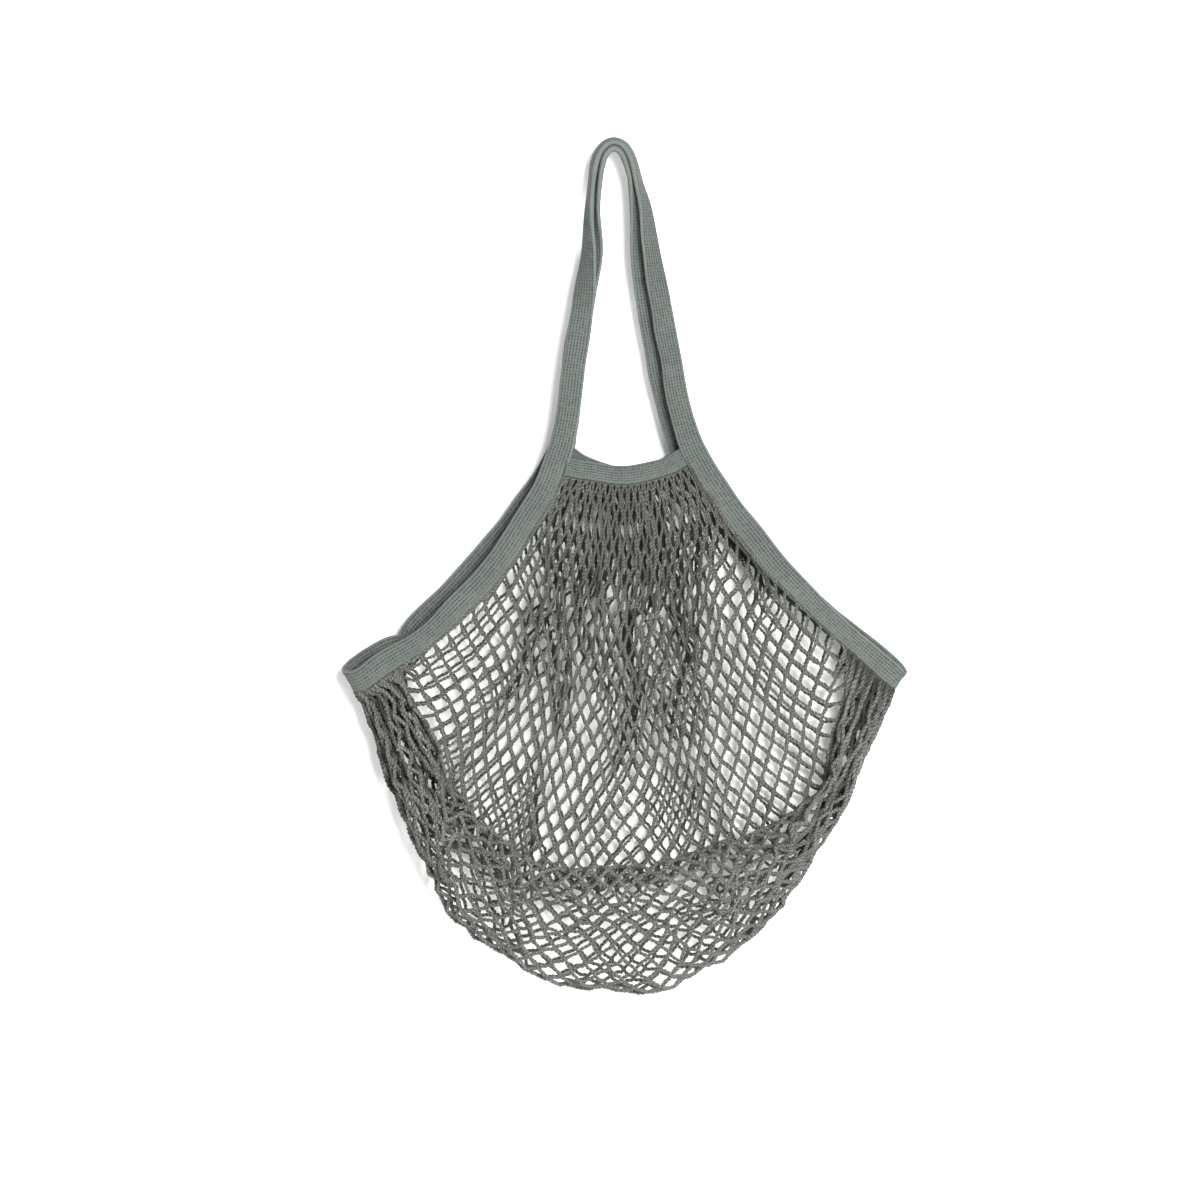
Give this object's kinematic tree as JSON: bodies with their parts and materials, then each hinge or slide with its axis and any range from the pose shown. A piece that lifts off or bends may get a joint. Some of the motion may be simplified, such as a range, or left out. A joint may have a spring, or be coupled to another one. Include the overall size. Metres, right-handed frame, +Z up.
{
  "type": "net market bag",
  "caption": "Open net market bag with long knitted tape handles, hanging from its handles with its mouth bound in tape and its net pouch sagging below.",
  "frame": {"origin": "the spot inside the top of the back handle on which the bag hangs", "axes": "+Z up, +X to the right of the bag's front, +Y from the front to the back, where a wall would be"},
  "size_m": [0.3945, 0.0501, 0.5961],
  "materials": {
    "tape": "matt waffle-knitted cotton tape, sage grey",
    "net": "matt knitted cotton cord, sage grey"
  },
  "bodies": {
    "root": {"handle_front": "tape", "handle_back": "tape", "side_band_left": "tape", "side_band_right": "tape", "top_band_front": "tape", "top_band_back": "tape", "net_body": "net"}
  },
  "joints": []
}
